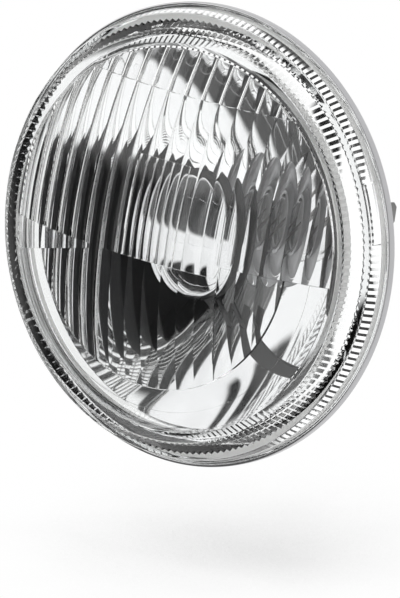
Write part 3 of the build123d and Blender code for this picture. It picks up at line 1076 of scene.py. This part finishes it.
class HEADLIGHT_OT_studio(bpy.types.Operator):
    """Sets up the white floor, the surround, the lights and the camera"""

    bl_idname = "headlight.studio"
    bl_label = "Studio"

    # Directions of the picture
    right = Vector((0.8026, 0.5806, 0.1370)).normalized()
    back = right.cross(Vector((-0.2324, 0.0927, 0.9682))).normalized()
    up = back.cross(right)

    # Dark cards, in degrees: where each starts and ends and how soft its edge is, across and then above
    cards = {
        "side": ((47, 105, 4), (-36, 62, 3)),
        "strip": ((32, 95, 4), (55, 66, 3)),
        "ceiling": ((-20, 9, 3), (33, 57, 3)),
        "edge": ((-75, 46, 4), (-50, -18, 3)),
        "front": ((-92, -4, 6), (-72, 3, 2)),
        "behind": ((-78, -6, 5), (-48, 3, 2)),
    }

    # The same across, for the side that is darker to single reflections
    left_side = (-95, 22, 5)

    def execute(self, context):
        studio = context.scene.headlight_studio
        context.scene.view_settings.view_transform = "Standard"
        self.surround(context, studio)
        self.floor(studio)
        self.lights(studio)
        self.camera(context, studio)
        return {"FINISHED"}

    def surround(self, context, studio):
        """White surround for the camera, with the tones of a studio for glass and metal."""
        world = bpy.data.worlds.new("Studio surround")
        world.use_nodes = True
        context.scene.world = world
        world.node_tree.nodes.clear()
        tree = Tree(world.node_tree)
        path = tree.outputs("ShaderNodeLightPath")
        seen = path["Is Camera Ray"]
        shiny = tree.maths("MAXIMUM", path["Is Glossy Ray"], path["Is Transmission Ray"])
        shiny = shiny * tree.maths("LESS_THAN", path["Diffuse Depth"], 0.5)
        soft = studio.fill * (1 - shiny) + studio.panel * shiny * self.panels(tree, path)
        strength = seen + (1 - seen) * soft
        light = tree.add("ShaderNodeBackground", {"Color": white, "Strength": strength})
        tree.add("ShaderNodeOutputWorld", {"Surface": light})

    def panels(self, tree, path):
        """Tone of the surround by direction: a white tent with dark cards.

        The cards beside and above the insert are there for every reflection. The others are there only
        for one kind of path: off the outer skin of the glass, off its inner face, off the bowl or shield
        once, or off them more than once.
        """
        x, y, z = tree.parts(tree.add("ShaderNodeTexCoord", None, "Generated"))
        across = tree.maths("ARCTAN2", x, 0 - y) * (180 / math.pi)
        above = tree.maths("ARCSINE", z) * (180 / math.pi)

        def window(value, start, end, soft):
            rise = tree.step(value, start - soft, start + soft)
            return rise * (1 - tree.step(value, end - soft, end + soft))

        def card(name):
            return window(across, *self.cards[name][0]) * window(above, *self.cards[name][1])

        depth = path["Transmission Depth"]
        outside = tree.maths("LESS_THAN", depth, 2.5)
        skin = tree.maths("LESS_THAN", depth, 0.5)
        single = tree.maths("LESS_THAN", path["Glossy Depth"], 1.5) * (1 - outside)
        left = single * window(across, *self.left_side)
        high = left * tree.step(above, -6, 0)
        low = left * (1 - tree.step(above, -42, -36)) * (1 - tree.step(across, -5, 5))
        dark = low
        for name in ("side", "strip", "ceiling"):
            dark = tree.maths("MAXIMUM", dark, card(name))
        glass = skin * card("front") + (outside - skin) * card("behind")
        edge = card("edge") * (1 - outside) * (1 - single)
        black, deep, grey = 0.985, 0.97, 0.93
        return (1 - black * dark) * (1 - deep * edge) * (1 - grey * high) * (1 - grey * glass)

    def floor(self, studio):
        """White floor with a painted shadow: its glow darkens softly under the insert where ambient
        occlusion finds it covered. It is seen only by the camera from above.
        """
        material = bpy.data.materials.new("White floor")
        material.use_nodes = True
        material.node_tree.nodes.clear()
        tree = Tree(material.node_tree)
        # Painted shadow: the floor's glow is dimmed where the insert covers it, not by any lamp
        open_sky = tree.add("ShaderNodeAmbientOcclusion", {"Distance": 0.3}, "AO")
        painted_shadow_darkest = 0.15
        strength = painted_shadow_darkest + (1 - painted_shadow_darkest) * tree.step(open_sky, 0.3, 0.83)
        glow = tree.add("ShaderNodeEmission", {"Color": white, "Strength": strength})
        clear = tree.add("ShaderNodeBsdfTransparent")
        seen = tree.add("ShaderNodeLightPath", None, "Is Camera Ray")
        above = 1 - tree.add("ShaderNodeNewGeometry", None, "Backfacing")
        both = tree.add("ShaderNodeMixShader", {0: seen * above, 1: clear, 2: glow})
        tree.add("ShaderNodeOutputMaterial", {"Surface": both})
        tilt, half = math.radians(16.0), 0.45
        normal = (math.cos(tilt) * self.up + math.sin(tilt) * self.back).normalized()
        away = normal.cross(self.right).normalized()
        middle = Vector((0.0, 0.01, 0.0)) - normal * studio.floor_gap
        corners = ((-1, -1), (1, -1), (1, 1), (-1, 1))
        points = [middle + self.right * half * a + away * half * b for a, b in corners]
        piece = mesh_piece("floor", points, [(0, 1, 2, 3)], material, False)

    def lights(self, studio):
        """Soft light overhead."""
        lamp = bpy.data.lights.new("Overhead", "AREA")
        lamp.size = 0.6
        lamp.energy = studio.key
        light = add_object("Overhead", lamp)
        spot = 0.8 * self.up + 0.3 * self.back
        light.location = spot
        light.rotation_euler = spot.to_track_quat("Z", "Y").to_euler()
        light.visible_glossy = False
        light.visible_transmission = False

    def camera(self, context, studio):
        """Camera at the view of the photograph, far away and turned a little about its axis."""
        lens = bpy.data.cameras.new("Camera")
        lens.lens = studio.focal
        lens.clip_end = 20.0
        camera = add_object("Camera", lens)
        target = Vector((0.00808, -0.00903, -0.01822))
        turn = Matrix((self.right, self.up, self.back)).transposed().to_4x4()
        camera.matrix_world = Matrix.Translation(target + studio.distance * self.back) @ turn
        context.scene.camera = camera


class HEADLIGHT_PT_panel(bpy.types.Panel):
    """Sidebar panel with the sizes and the operators"""

    bl_idname = "HEADLIGHT_PT_panel"
    bl_label = "Headlight insert"
    bl_space_type = "VIEW_3D"
    bl_region_type = "UI"
    bl_category = "Headlight"

    def draw(self, context):
        for operator in operators:
            self.layout.operator(operator.bl_idname)
        for name in settings:
            group = getattr(context.scene, name)
            box = self.layout.box()
            for item in group.bl_rna.properties:
                if item.identifier not in ("rna_type", "name"):
                    box.prop(group, item.identifier)


operators = [
    HEADLIGHT_OT_lens,
    HEADLIGHT_OT_bowl,
    HEADLIGHT_OT_glue,
    HEADLIGHT_OT_shield,
    HEADLIGHT_OT_bulb,
    HEADLIGHT_OT_holder,
    HEADLIGHT_OT_studio,
]
settings = {
    "headlight_lens": LensSizes,
    "headlight_bowl": BowlSizes,
    "headlight_finishes": Finishes,
    "headlight_studio": Studio,
}
add_classes, remove_classes = bpy.utils.register_classes_factory(
    [*settings.values(), *operators, HEADLIGHT_PT_panel])


def register():
    """Registers the property groups, the operators and the panel."""
    add_classes()
    for name, group in settings.items():
        setattr(bpy.types.Scene, name, PointerProperty(type=group))


def unregister():
    """Takes the properties and the classes out again."""
    for name in settings:
        delattr(bpy.types.Scene, name)
    remove_classes()


def main():
    """Builds every piece and the studio."""
    register()
    bpy.ops.headlight.lens()
    bpy.ops.headlight.bowl()
    bpy.ops.headlight.glue()
    bpy.ops.headlight.shield()
    bpy.ops.headlight.bulb()
    bpy.ops.headlight.holder()
    bpy.ops.headlight.studio()


if __name__ == "__main__":
    main()
